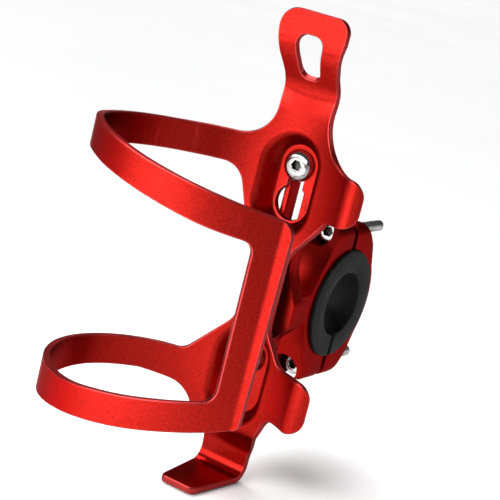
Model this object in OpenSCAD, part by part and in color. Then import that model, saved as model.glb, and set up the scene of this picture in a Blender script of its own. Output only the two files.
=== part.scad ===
// Side-entry bottle cage on a handlebar clamp.
// Origin: centre of the handlebar bore.  X runs along the handlebar, +Z is up
// along the bottle, and the bottle stands on the -Y side.

/* [Bottle ring] */
// Inside radius of the ring that holds the bottle
ring_r = 37.75; // [37:0.25:38.25]
// Thickness of the formed sheet
sheet_t = 2.2; // [2:0.1:2.4]
// How far each bolt recess is pushed back from the plate
recess_depth = 5.05; // [4.6:0.05:5.4]
// Height of the plate, from the foot's top face to the top of the tab
tab_top = 95.3; // [93:0.1:97]
// Height of the foot's upper face below the clamp's centre
foot_top = -54.5; // [-57:0.5:-54]

/* [Bolt recesses] */
// Distance between the two cage bolts
bolt_pitch = 64; // [63.5:0.5:64.5]
// Height of the upper cage bolt above the clamp's centre
upper_bolt_z = 47.5; // [47:0.5:48]
// Length of a bolt's slot; the upper one ends in a wide keyhole
keyhole_run = 12.2; // [12:0.1:12.4]
// Radius of the wide end of the upper keyhole
keyhole_r = 5.5; // [5.3:0.1:5.6]
// Radius at the ends of the flat recess floor
floor_r = 7; // [6.8:0.1:7.2]
// Radius at the ends of the recess where it meets the plate
rim_r = 10.8; // [10.4:0.2:11.2]

/* [Handlebar clamp] */
// Radius of the handlebar that the sleeve grips
bar_bore_r = 11.1; // [11:0.1:12.7]
// Outside radius of the rubber sleeve
sleeve_r = 18.9; // [18.7:0.1:19.2]
// Width of the clamp along the handlebar
clamp_w = 14; // [13:0.5:15]
// Distance between the two clamp screws
screw_pitch = 47.5; // [47:0.25:48]
// Gap between the clamp's two halves
split_gap = 2.8; // [2:0.2:3.2]

/* [Bracket bar] */
// Width of the bar that the cage bolts to
bar_w = 8.6; // [8.4:0.1:9.4]
// Depth of the bar, front to back
bar_d = 6.4; // [6:0.1:6.8]
// Width of the bar's long slot
slot_w = 5.3; // [5.2:0.1:5.4]

/* [Hidden] */
$fn = 96;

// The bar's front face is the seat of the recess floors
bar_front = -37.1;
bar_back = bar_front + bar_d;
floor_front = bar_front - sheet_t;
plate_front = floor_front - recess_depth;
bottle_y = plate_front - ring_r;
ring_mid = ring_r + sheet_t / 2;
ring_out = ring_r + sheet_t;
lower_bolt_z = upper_bolt_z - bolt_pitch;

// Plan of the sheet: the ring runs from the right wings round the back, the
// left and the front to the strut, and both ends flare outwards
wing_from = 52;
strut_to = 326;
strut_from_x = 29.3;
wing_bend_r = 4;
wing_turns = [8, 20, 34, 48, 62, 75];
wing_flat = 1;
lip_bend_r = 2.5;
lip_turns = [9, 21, 33, 45];
lip_flat = 3;

// Screws and bolts
m4_r = 2;
m4_len = 35;
m4_head_r = 3.5;
m4_head_h = 4;
m4_seat_y = -4.4;
m4_seat_r = 4.5;
m5_r = 2.5;
m5_len = 12;
m5_head_r = 5.2;
m5_head_h = 2.75;
thread_gap = 0.05;
nut_flats = 8;
nut_h = 4;

// Clamp halves
lug_z = 27.6;
lug_corner_r = 4;
body_wall_r = 21.4;
cap_wall_r = 21.4;
cap_clear = 0.2;
sleeve_proud = 1;
sleeve_slit = 1.6;

red = [0.75, 0.05, 0.06];
steel = [0.8, 0.8, 0.82];
black = [0.12, 0.12, 0.12];

// One rounded corner of an outline: b is the corner and r its radius
function corner(a, b, c, r, steps) =
    let (u = (a - b) / norm(a - b), v = (c - b) / norm(c - b),
         half = acos(max(-1, min(1, u * v))) / 2,
         reach = r / tan(half),
         middle = b + (u + v) / norm(u + v) * (r / sin(half)),
         p = b + u * reach, q = b + v * reach,
         from = atan2(p[1] - middle[1], p[0] - middle[0]),
         raw = atan2(q[1] - middle[1], q[0] - middle[0]) - from,
         sweep = raw > 180 ? raw - 360 : raw < -180 ? raw + 360 : raw)
    [for (i = [0:steps]) middle + r * [cos(from + sweep * i / steps), sin(from + sweep * i / steps)]];

// An outline from corners [x, y, radius]
function rounded(pts, steps = 5) =
    let (n = len(pts))
    [for (i = [0:n - 1])
        let (a = pts[(i + n - 1) % n], b = pts[i], c = pts[(i + 1) % n])
        each b[2] > 0
            ? corner([a[0], a[1]], [b[0], b[1]], [c[0], c[1]], b[2], steps)
            : [[b[0], b[1]]]];

function mirror_x(pts) = [for (i = [len(pts) - 1:-1:0]) [-pts[i][0], pts[i][1], pts[i][2]]];

function mirror_y(pts) = [for (i = [len(pts) - 1:-1:0]) [pts[i][0], -pts[i][1], pts[i][2]]];

// Outline drawn in X and Z, extruded from y0 to y1
module along_y(y0, y1) {
    translate([0, y1, 0]) rotate([90, 0, 0]) linear_extrude(height = y1 - y0) children();
}

// Outline drawn in Y and Z, extruded over the width w about X = 0
module across_x(w) {
    translate([-w / 2, 0, 0]) rotate([90, 0, 90]) linear_extrude(height = w) children();
}

module stadium(r, z0, z1) {
    translate([0, z0]) circle(r = r);
    translate([0, z1]) circle(r = r);
    translate([-r, z0]) square([2 * r, z1 - z0]);
}

// ---- bottle cage -------------------------------------------------------

wing_top = 50.6;
wing_bottom = 36;
wing_edge = 31;
low_wing_top = -13.8;
low_wing_bottom = -30.8;
neck_half = 8.7;
strip_half = 6.5;
tab_root_half = 9.5;
tab_half = 11.8;
arm_top = 53.6;
arm_w = 9.8;
low_arm_top = -18.2;
plate_z = [-40, 68];

// Outline of the back of the cage: tab, plate, wings, neck and arm roots
back_outline = rounded([
    [-45, arm_top, 0], [-tab_root_half, arm_top, 12], [-tab_root_half, 76, 12],
    [-tab_half, 88, 12], [-tab_half, tab_top, 6], [tab_half, tab_top, 4.5], [tab_half, 88, 12],
    [tab_root_half, 76, 12], [tab_root_half, wing_top, 16],
    [wing_edge, wing_top, 5], [wing_edge, wing_bottom, 6], [18.6, 34.6, 4.5],
    [strip_half, 20, 10], [strip_half, -5.5, 8], [14.5, -14.6, 7],
    [wing_edge, low_wing_top, 5], [wing_edge, low_wing_bottom, 6],
    [15, -31.4, 5], [neck_half, -47, 12], [neck_half, -60, 0],
    [-neck_half, -60, 0], [-neck_half, -46, 10], [-17, -30.2, 12],
    [-45, low_arm_top - arm_w, 0], [-45, low_arm_top, 0], [-19.5, -19.2, 5],
    [-strip_half, -4.5, 8], [-strip_half, 18, 10], [-11.5, 28, 15],
    [-15.5, arm_top - arm_w - 0.2, 8], [-45, arm_top - arm_w, 0]]);

// Outline of the front: both arms, the strut and the window between them
front_edge = [[-45, arm_top, 0], [-37, arm_top, 4], [-29, 55.2, 10], [39, 42.6, 5],
              [36.6, -16.6, 4], [-27, -29, 20], [-37, low_arm_top - arm_w, 4],
              [-45, low_arm_top - arm_w, 0]];
front_window = [[-46, arm_top - arm_w, 0], [-37, arm_top - arm_w, 4], [-28, 45.6, 10],
                [strut_from_x, 35.9, 3.5], [strut_from_x, -9.6, 4.5], [-27, -18.2, 10],
                [-46, low_arm_top, 0]];

module ring_sector(from, to) {
    reach = 2 * ring_out;
    steps = ceil((to - from) / 45);
    intersection() {
        difference() {
            circle(r = ring_out);
            circle(r = ring_r);
        }
        polygon(concat([[0, 0]],
            [for (i = [0:steps]) let (a = from + (to - from) * i / steps) reach * [cos(a), sin(a)]]));
    }
}

// A flared edge turns outwards.  side is 1 where the sheet ends clockwise
// (the wings) and -1 at the strut.  It starts a little inside the sheet.
function flare_side(at, r, turns, flat, side, half) =
    let (centre = (ring_mid + r) * [cos(at), sin(at)], root = at + 2 * side,
         ends = at + 180 + side * turns[len(turns) - 1])
    concat([(ring_mid + half - 0.25 * sign(half)) * [cos(root), sin(root)]],
        [for (t = turns) let (a = at + 180 + side * t) centre + (r - half) * [cos(a), sin(a)]],
        [centre + (r - half) * [cos(ends), sin(ends)] + side * flat * [-sin(ends), cos(ends)]]);

module flare(at, bend_r, turns, flat, side) {
    near = flare_side(at, bend_r, turns, flat, side, sheet_t / 2);
    far = flare_side(at, bend_r, turns, flat, side, -sheet_t / 2);
    polygon(concat(near, [for (i = [len(far) - 1:-1:0]) far[i]]));
}

// The rolled sheet before its outline is cut
module rolled_sheet() {
    h = plate_z[1] - plate_z[0];
    translate([0, bottle_y, plate_z[0]]) {
        linear_extrude(height = h) ring_sector(wing_from, strut_to);
        linear_extrude(height = h) flare(wing_from, wing_bend_r, wing_turns, wing_flat, 1);
        linear_extrude(height = h) flare(strut_to, lip_bend_r, lip_turns, lip_flat, -1);
    }
}

// Side view of the tab, which leans forward over the bottle
module tab_profile() {
    lean = 8.05;
    y0 = plate_front - 0.5;
    polygon(rounded([
        [y0, 64, 0], [y0, 70, 14], [y0 - lean, 85.5, 14], [y0 - lean, tab_top + 2, 0],
        [y0 - lean + sheet_t, tab_top + 2, 0], [y0 - lean + sheet_t, 85.5, 14],
        [y0 + sheet_t, 70, 14], [y0 + sheet_t, 64, 0]]));
}

// Side view of the neck, which steps back, and the foot under the bottle
module foot_profile() {
    neck_y = -41.2;
    y0 = plate_front - 0.3;
    polygon(rounded([
        [y0, -36, 0], [y0, -39.5, 4], [neck_y, -46.5, 4], [neck_y, foot_top, 3.5],
        [foot_end, foot_top, 0], [foot_end, foot_top - sheet_t, 0],
        [neck_y + sheet_t, foot_top - sheet_t, 3.5 + sheet_t],
        [neck_y + sheet_t, -46.5, 4], [y0 + sheet_t, -39.5, 4], [y0 + sheet_t, -36, 0]]));
}

foot_end = -66.9;

module foot_plan() {
    tip_half = 6.2;
    polygon(rounded([
        [-30, 0, 0], [-30, -43, 0], [-neck_half, -43, 0], [-tip_half, foot_end, 2.4],
        [tip_half, foot_end, 2.4], [neck_half, -43, 0], [30, -43, 0], [30, 0, 0]]));
}

module formed_sheet() {
    intersection() {
        union() {
            rolled_sheet();
            across_x(30) tab_profile();
            intersection() {
                across_x(40) foot_profile();
                translate([0, 0, -70]) linear_extrude(height = 50) foot_plan();
            }
        }
        union() {
            along_y(bottle_y, 0) polygon(back_outline);
            along_y(bottle_y - 60, bottle_y)
                difference() {
                    polygon(rounded(front_edge));
                    polygon(rounded(front_window));
                }
        }
    }
}

// Sloping stadium block from the recess floor to the plate and beyond it.
// grow widens it and back moves its floor towards the bracket.
module recess_block(z_top, grow, back) {
    slope = (rim_r - floor_r) / recess_depth;
    reach = recess_depth + 4;
    y0 = floor_front + back;
    r0 = floor_r + grow - slope * back;
    r1 = r0 + slope * (reach + back);
    for (z = [z_top, z_top - keyhole_run])
        translate([0, y0, z]) rotate([90, 0, 0]) cylinder(r1 = r0, r2 = r1, h = reach + back);
    translate([0, 0, z_top - keyhole_run]) linear_extrude(height = keyhole_run)
        polygon([[-r0, y0], [r0, y0], [r1, y0 - reach - back], [-r1, y0 - reach - back]]);
}

// Slot for a cage bolt.  wide is the radius of its low end.
module bolt_slot(z_top, wide) {
    along_y(floor_front - 1, bar_front + 1) {
        stadium(m5_r + 0.2, z_top - keyhole_run, z_top);
        translate([0, z_top - keyhole_run]) circle(r = wide);
    }
}

module bottle_cage() {
    wall_grow = sheet_t * 0.9;
    tab_hole = rounded([[-4.9, 88.2, 3.2], [4.9, 88.2, 3.2], [3.3, 75.4, 2.8], [-3.3, 75.4, 2.8]]);
    color(red) difference() {
        union() {
            formed_sheet();
            difference() {
                for (z = [upper_bolt_z, lower_bolt_z]) recess_block(z, wall_grow, sheet_t);
                translate([0, bottle_y, -60]) cylinder(r = ring_mid, h = 140);
            }
        }
        for (z = [upper_bolt_z, lower_bolt_z]) recess_block(z, 0, 0);
        bolt_slot(upper_bolt_z, keyhole_r);
        bolt_slot(lower_bolt_z, m5_r);
        along_y(-60, -30) polygon(tab_hole);
    }
}

// ---- handlebar clamp ---------------------------------------------------

bar_top = 54.5;
bar_bottom = lower_bolt_z - bar_w / 2;
boss_half = 9.2;
slot_z = [23.2, 48.5];
neck_h = 10;

bar_side = [[bar_w / 2, bar_top, bar_w / 2 - 0.1], [bar_w / 2, 14, 12], [boss_half, 3.5, 5],
            [boss_half, -4.5, 4.5], [bar_w / 2, -9.5, 4],
            [bar_w / 2, bar_bottom, bar_w / 2 - 0.1]];

body_lug = [[-split_gap / 2, lug_z, 1.4], [-11.8, lug_z, 3.5], [-14.9, 20.5, 8], [-18.9, 12, 0],
            [-21.9, 4.5, 0], [0, 0, 0], [-split_gap / 2, 0, 0]];
cap_lug = [[split_gap / 2, lug_z, 1.4], [split_gap / 2, 0, 0], [0, 0, 0], [20.9, 4.5, 0],
           [14.5, 20, 8], [7.8, lug_z, 3]];

// Both halves have the same rounded ends, seen along the screws
module lug_ends(y0, y1) {
    w = clamp_w / 2;
    along_y(y0, y1) polygon(rounded([
        [-w, -lug_z, lug_corner_r], [w, -lug_z, lug_corner_r],
        [w, lug_z, lug_corner_r], [-w, lug_z, lug_corner_r]]));
}

module screw_holes(r, y0, y1) {
    for (z = [-screw_pitch / 2, screw_pitch / 2])
        translate([0, y1, z]) rotate([90, 0, 0]) cylinder(r = r, h = y1 - y0);
}

module half_wall(r, lug, side) {
    reach = 40;
    intersection() {
        across_x(clamp_w) {
            intersection() {
                circle(r = r);
                translate([side > 0 ? split_gap / 2 : -split_gap / 2 - reach, -reach]) square([reach, 2 * reach]);
            }
            intersection() {
                union() {
                    polygon(rounded(lug));
                    polygon(rounded(mirror_y(lug)));
                }
                translate([side > 0 ? split_gap / 2 : -split_gap / 2 - reach, -reach]) square([reach, 2 * reach]);
            }
        }
        lug_ends(-reach, reach);
    }
}

module bore_x(r, w) {
    translate([-w / 2, 0, 0]) rotate([0, 90, 0]) cylinder(r = r, h = w);
}

module clamp_body() {
    color(red) difference() {
        union() {
            half_wall(body_wall_r, body_lug, -1);
            translate([-clamp_w / 2, bar_back - 1, -neck_h / 2])
                cube([clamp_w, -body_wall_r - bar_back + 3, neck_h]);
            along_y(bar_front, bar_back)
                polygon(rounded(concat(bar_side, mirror_x(bar_side))));
        }
        bore_x(sleeve_r, clamp_w + 2);
        screw_holes(m4_r + 0.15, -40 + 10.5, 0);
        screw_holes(m4_seat_r, bar_back + 0.5, m4_seat_y);
        along_y(bar_front - 1, bar_back + 1) stadium(slot_w / 2, slot_z[0], slot_z[1]);
        translate([0, bar_back + 1, lower_bolt_z]) rotate([90, 0, 0])
            cylinder(r = m5_r + thread_gap, h = bar_d + 2);
    }
}

module clamp_cap() {
    color(red) difference() {
        half_wall(cap_wall_r, cap_lug, 1);
        bore_x(sleeve_r + cap_clear, clamp_w + 2);
        screw_holes(m4_r + thread_gap, 0, 25);
    }
}

module rubber_sleeve() {
    w = clamp_w + 2 * sleeve_proud;
    color(black) difference() {
        bore_x(sleeve_r, w);
        bore_x(bar_bore_r, w + 2);
        translate([-w, -sleeve_slit / 2, -sleeve_r - 1]) cube([2 * w, sleeve_slit, sleeve_r + 1]);
    }
}

// ---- screws, bolts and nut ---------------------------------------------

// Hexagon across flats, drawn in X and Z
module hexagon(flats) {
    circle(r = flats / sqrt(3), $fn = 6);
}

module clamp_screw(z) {
    chamfer = 0.4;
    color(steel) translate([0, m4_seat_y, z]) rotate([-90, 0, 0]) difference() {
        rotate_extrude() polygon([
            [0, -m4_head_h], [m4_head_r - chamfer, -m4_head_h], [m4_head_r, -m4_head_h + chamfer],
            [m4_head_r, 0], [m4_r, 0], [m4_r, m4_len - chamfer], [m4_r - chamfer, m4_len], [0, m4_len]]);
        translate([0, 0, -m4_head_h - 1]) linear_extrude(height = 3.2) hexagon(3);
    }
}

module cage_bolt(z) {
    rim_h = 0.5;
    dome_r = (m5_head_r * m5_head_r + pow(m5_head_h - rim_h, 2)) / (2 * (m5_head_h - rim_h));
    color(steel) translate([0, floor_front, z]) rotate([-90, 0, 0]) difference() {
        union() {
            cylinder(r = m5_r, h = m5_len);
            translate([0, 0, -rim_h]) cylinder(r = m5_head_r, h = rim_h);
            intersection() {
                translate([0, 0, dome_r - m5_head_h]) sphere(r = dome_r);
                translate([0, 0, -m5_head_h - 1]) cylinder(r = m5_head_r, h = m5_head_h + 1 - rim_h);
            }
        }
        translate([0, 0, -m5_head_h - 1]) linear_extrude(height = 2.7) hexagon(3);
    }
}

module slot_nut() {
    color(steel) translate([0, bar_back + nut_h, upper_bolt_z]) rotate([90, 0, 0])
        difference() {
            linear_extrude(height = nut_h) hexagon(nut_flats);
            translate([0, 0, -1]) cylinder(r = m5_r + thread_gap, h = nut_h + 2);
        }
}

clamp_body();
clamp_cap();
rubber_sleeve();
clamp_screw(screw_pitch / 2);  // clamp_screw_upper
clamp_screw(-screw_pitch / 2);  // clamp_screw_lower
bottle_cage();
cage_bolt(upper_bolt_z);  // cage_bolt_upper
cage_bolt(lower_bolt_z);  // cage_bolt_lower
slot_nut();
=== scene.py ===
"""Side-entry bottle cage on a handlebar clamp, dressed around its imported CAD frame.

Sizes inside the classes are in millimetres, in the frame's own axes: X along the
handlebar, Y from the bottle towards the clamp's cap, Z up. Meshes are in metres.
"""

import logging
import math
from dataclasses import dataclass, field
from enum import Enum

import bmesh
import bpy
import numpy as np
from mathutils import Matrix, Vector
from mathutils.geometry import delaunay_2d_cdt


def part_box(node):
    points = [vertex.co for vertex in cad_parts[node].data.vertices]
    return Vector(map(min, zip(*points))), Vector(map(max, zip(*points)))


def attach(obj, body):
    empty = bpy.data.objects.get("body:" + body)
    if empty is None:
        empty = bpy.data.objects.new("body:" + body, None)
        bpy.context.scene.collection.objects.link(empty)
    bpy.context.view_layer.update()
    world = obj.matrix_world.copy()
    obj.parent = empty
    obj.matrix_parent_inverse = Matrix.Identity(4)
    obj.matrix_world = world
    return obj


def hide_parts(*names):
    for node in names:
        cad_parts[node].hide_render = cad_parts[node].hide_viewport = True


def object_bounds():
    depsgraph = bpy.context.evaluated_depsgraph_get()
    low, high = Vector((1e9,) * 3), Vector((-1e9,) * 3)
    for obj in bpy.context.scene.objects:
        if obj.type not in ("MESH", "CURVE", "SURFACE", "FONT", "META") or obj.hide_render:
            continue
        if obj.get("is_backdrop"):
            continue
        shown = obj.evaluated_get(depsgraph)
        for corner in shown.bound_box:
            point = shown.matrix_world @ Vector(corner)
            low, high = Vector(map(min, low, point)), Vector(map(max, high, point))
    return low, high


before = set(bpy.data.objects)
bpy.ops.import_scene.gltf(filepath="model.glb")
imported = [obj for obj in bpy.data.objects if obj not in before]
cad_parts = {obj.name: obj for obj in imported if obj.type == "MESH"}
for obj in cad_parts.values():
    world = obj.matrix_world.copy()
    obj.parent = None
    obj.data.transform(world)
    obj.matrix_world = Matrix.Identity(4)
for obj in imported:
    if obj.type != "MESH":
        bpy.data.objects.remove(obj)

MM = 0.001
log = logging.getLogger("bottle_cage")


# ---------------------------------------------------------------- helpers


class Outline(Enum):
    """Cross-section of a turned piece at one place on its axis."""

    ROUND = "round"
    HEXAGON = "hexagon"


def lowest(node: str) -> Vector:
    """Lowest corner of a CAD node, in millimetres."""
    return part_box(node)[0] / MM


def highest(node: str) -> Vector:
    """Highest corner of a CAD node, in millimetres."""
    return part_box(node)[1] / MM


def eased(t: np.ndarray, share: float = 0.35) -> np.ndarray:
    """Rises from 0 to 1 with a straight middle and rounded ends.

    Args:
        t: Position along the rise, 0 at its foot and 1 at its top.
        share: Part of the rise that each rounded end takes.

    Returns:
        The height at each position.
    """
    t = np.clip(t, 0.0, 1.0)
    slope = 1.0 / (1.0 - share)
    foot = slope * t**2 / (2 * share)
    top = 1.0 - slope * (1.0 - t) ** 2 / (2 * share)
    middle = slope * (t - share / 2)
    return np.where(t < share, foot, np.where(t > 1.0 - share, top, middle))


def spline(points: list[tuple[float, float]], spacing: float) -> list[tuple[float, float]]:
    """Smooth curve through points (Catmull-Rom).

    Args:
        points: What the curve passes through, in order.
        spacing: Distance between the points that come back.

    Returns:
        Points along the curve, both ends included.
    """
    p = np.array([points[0], *points, points[-1]], float)
    curve = []
    for a, b, c, d in zip(p[:-3], p[1:-2], p[2:-1], p[3:]):
        steps = max(2, math.ceil(np.linalg.norm(c - b) / spacing))
        for t in np.arange(steps) / steps:
            curve.append(
                0.5 * (2 * b + (c - a) * t + (2 * a - 5 * b + 4 * c - d) * t**2
                       + (3 * b - a - 3 * c + d) * t**3)
            )
    curve.append(p[-1])
    return [(float(x), float(y)) for x, y in curve]


def rounded(corners: list[tuple[float, float, float]], spacing: float = 0.6) -> np.ndarray:
    """Closed outline from corners with a radius each.

    Args:
        corners: x, y and radius of each corner. Radius 0 keeps the point.
        spacing: Longest distance between neighbouring points.

    Returns:
        Points of the outline, one row each.
    """
    shape = []
    count = len(corners)
    for i, (x, y, r) in enumerate(corners):
        b = np.array([x, y])
        if r == 0:
            shape.append(b)
            continue
        a = np.array(corners[i - 1][:2])
        c = np.array(corners[(i + 1) % count][:2])
        u = (a - b) / np.linalg.norm(a - b)
        v = (c - b) / np.linalg.norm(c - b)
        half = math.acos(max(-1.0, min(1.0, float(u @ v)))) / 2
        centre = b + (u + v) / np.linalg.norm(u + v) * (r / math.sin(half))
        start = b + u * (r / math.tan(half)) - centre
        sweep = math.pi - 2 * half
        if u[0] * v[1] - u[1] * v[0] > 0:
            sweep = -sweep
        steps = max(3, math.ceil(abs(sweep) * r / spacing))
        for k in range(steps + 1):
            turn = sweep * k / steps
            co, si = math.cos(turn), math.sin(turn)
            shape.append(centre + [co * start[0] - si * start[1], si * start[0] + co * start[1]])
    return evened(np.array(shape), spacing)


def evened(shape: np.ndarray, spacing: float) -> np.ndarray:
    """Closed outline with long sides divided and doubled points dropped.

    Args:
        shape: Points of the outline.
        spacing: Longest distance between neighbours.

    Returns:
        The outline with more points on its long sides.
    """
    result = []
    for a, b in zip(shape, np.roll(shape, -1, axis=0)):
        length = np.linalg.norm(b - a)
        if length < spacing * 0.15:
            continue
        steps = max(1, math.ceil(length / spacing))
        result.extend(a + (b - a) * k / steps for k in range(steps))
    return np.array(result)


def inside(points: np.ndarray, loops: list[np.ndarray]) -> np.ndarray:
    """Tells which points lie inside closed loops, by the even-odd rule.

    Args:
        points: Points to test, one row each.
        loops: Closed outlines; a loop inside another is a hole.

    Returns:
        True for each point that lies inside.
    """
    odd = np.zeros(len(points), bool)
    x, y = points[:, 0], points[:, 1]
    for loop in loops:
        for (ax, ay), (bx, by) in zip(loop, np.roll(loop, -1, axis=0)):
            if ay == by:
                continue
            crosses = (ay > y) != (by > y)
            odd ^= crosses & (x < (bx - ax) * (y - ay) / (by - ay) + ax)
    return odd


def near(points: np.ndarray, others: np.ndarray, reach: float) -> np.ndarray:
    """Tells which points have one of the others within reach.

    Args:
        points: Points to test.
        others: Points to look for.
        reach: Distance that counts as near.

    Returns:
        True for each point that has a neighbour within reach.
    """
    found = np.zeros(len(points), bool)
    for start in range(0, len(others), 256):
        part = others[start:start + 256]
        gap = points[:, None, :] - part[None, :, :]
        found |= ((gap**2).sum(axis=2) < reach**2).any(axis=1)
    return found


def make_object(name: str, mesh: bpy.types.Mesh) -> bpy.types.Object:
    """Puts a mesh into the scene.

    Args:
        name: Name of the new object.
        mesh: Its shape.

    Returns:
        The new object.
    """
    piece = bpy.data.objects.new(name, mesh)
    bpy.context.scene.collection.objects.link(piece)
    return piece


# ---------------------------------------------------------------- finishes


def group_sockets(tree: bpy.types.NodeTree, inputs: dict[str, float], outputs: list[str]) -> None:
    """Gives a node group a Vector input, number inputs and number outputs.

    Args:
        tree: The node group.
        inputs: Name and default value of each number that goes in.
        outputs: Name of each value that comes out.
    """
    tree.interface.new_socket("Vector", in_out="INPUT", socket_type="NodeSocketVector")
    for name, value in inputs.items():
        socket = tree.interface.new_socket(name, in_out="INPUT", socket_type="NodeSocketFloat")
        socket.default_value = value
    for name in outputs:
        tree.interface.new_socket(name, in_out="OUTPUT", socket_type="NodeSocketFloat")


class BlastGrain:
    """Node group: the fine, even grain that bead blasting leaves, with soft larger clouds."""

    tree: bpy.types.NodeTree | None = None
    fine_detail = 3.0
    fine_roughness = 0.65
    cloud_detail = 5.0
    pit_share = 0.6
    speckle_band = (0.34, 0.66)

    @classmethod
    def get(cls) -> bpy.types.NodeTree:
        """Builds the group once and returns it."""
        if cls.tree is None:
            cls.tree = cls._build()
        return cls.tree

    @classmethod
    def _build(cls) -> bpy.types.NodeTree:
        """Makes the group's nodes."""
        tree = bpy.data.node_groups.new("blast_grain", "ShaderNodeTree")
        group_sockets(tree, {"Grain Scale": 2600.0, "Cloud Scale": 35.0},
                      ["Height", "Speckle", "Cloud"])
        nodes, links = tree.nodes, tree.links
        source, sink = nodes.new("NodeGroupInput"), nodes.new("NodeGroupOutput")
        fine = nodes.new("ShaderNodeTexNoise")
        fine.inputs["Detail"].default_value = cls.fine_detail
        fine.inputs["Roughness"].default_value = cls.fine_roughness
        pits = nodes.new("ShaderNodeTexVoronoi")
        pits.feature = "SMOOTH_F1"
        cloud = nodes.new("ShaderNodeTexNoise")
        cloud.inputs["Detail"].default_value = cls.cloud_detail
        blend = nodes.new("ShaderNodeMath")
        blend.operation = "MULTIPLY_ADD"
        blend.inputs[1].default_value = cls.pit_share
        speckle = nodes.new("ShaderNodeMapRange")
        speckle.inputs["From Min"].default_value = cls.speckle_band[0]
        speckle.inputs["From Max"].default_value = cls.speckle_band[1]
        for texture in (fine, pits, cloud):
            links.new(source.outputs["Vector"], texture.inputs["Vector"])
        links.new(source.outputs["Grain Scale"], fine.inputs["Scale"])
        links.new(source.outputs["Grain Scale"], pits.inputs["Scale"])
        links.new(source.outputs["Cloud Scale"], cloud.inputs["Scale"])
        links.new(pits.outputs["Distance"], blend.inputs[0])
        links.new(fine.outputs["Fac"], blend.inputs[2])
        links.new(fine.outputs["Fac"], speckle.inputs["Value"])
        links.new(blend.outputs[0], sink.inputs["Height"])
        links.new(speckle.outputs[0], sink.inputs["Speckle"])
        links.new(cloud.outputs["Fac"], sink.inputs["Cloud"])
        return tree


class HandlingWear:
    """Node group: faint scratches and finger smudges."""

    tree: bpy.types.NodeTree | None = None
    scratch_stretch = (1.0, 1.4, 0.12)
    scratch_detail = 6.0
    scratch_roughness = 0.75
    scratch_band = (0.62, 0.72)
    smudge_detail = 4.0
    smudge_swirl = 0.6

    @classmethod
    def get(cls) -> bpy.types.NodeTree:
        """Builds the group once and returns it."""
        if cls.tree is None:
            cls.tree = cls._build()
        return cls.tree

    @classmethod
    def _build(cls) -> bpy.types.NodeTree:
        """Makes the group's nodes."""
        tree = bpy.data.node_groups.new("handling_wear", "ShaderNodeTree")
        group_sockets(tree, {"Scratch Scale": 90.0, "Smudge Scale": 22.0}, ["Scratch", "Smudge"])
        nodes, links = tree.nodes, tree.links
        source, sink = nodes.new("NodeGroupInput"), nodes.new("NodeGroupOutput")
        stretch = nodes.new("ShaderNodeVectorMath")
        stretch.operation = "MULTIPLY"
        stretch.inputs[1].default_value = cls.scratch_stretch
        scratch = nodes.new("ShaderNodeTexNoise")
        scratch.inputs["Detail"].default_value = cls.scratch_detail
        scratch.inputs["Roughness"].default_value = cls.scratch_roughness
        thin = nodes.new("ShaderNodeMapRange")
        thin.inputs["From Min"].default_value = cls.scratch_band[0]
        thin.inputs["From Max"].default_value = cls.scratch_band[1]
        smudge = nodes.new("ShaderNodeTexNoise")
        smudge.inputs["Detail"].default_value = cls.smudge_detail
        smudge.inputs["Distortion"].default_value = cls.smudge_swirl
        links.new(source.outputs["Vector"], stretch.inputs[0])
        links.new(stretch.outputs[0], scratch.inputs["Vector"])
        links.new(source.outputs["Vector"], smudge.inputs["Vector"])
        links.new(source.outputs["Scratch Scale"], scratch.inputs["Scale"])
        links.new(source.outputs["Smudge Scale"], smudge.inputs["Scale"])
        links.new(scratch.outputs["Fac"], thin.inputs["Value"])
        links.new(thin.outputs[0], sink.inputs["Scratch"])
        links.new(smudge.outputs["Fac"], sink.inputs["Smudge"])
        return tree


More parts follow.
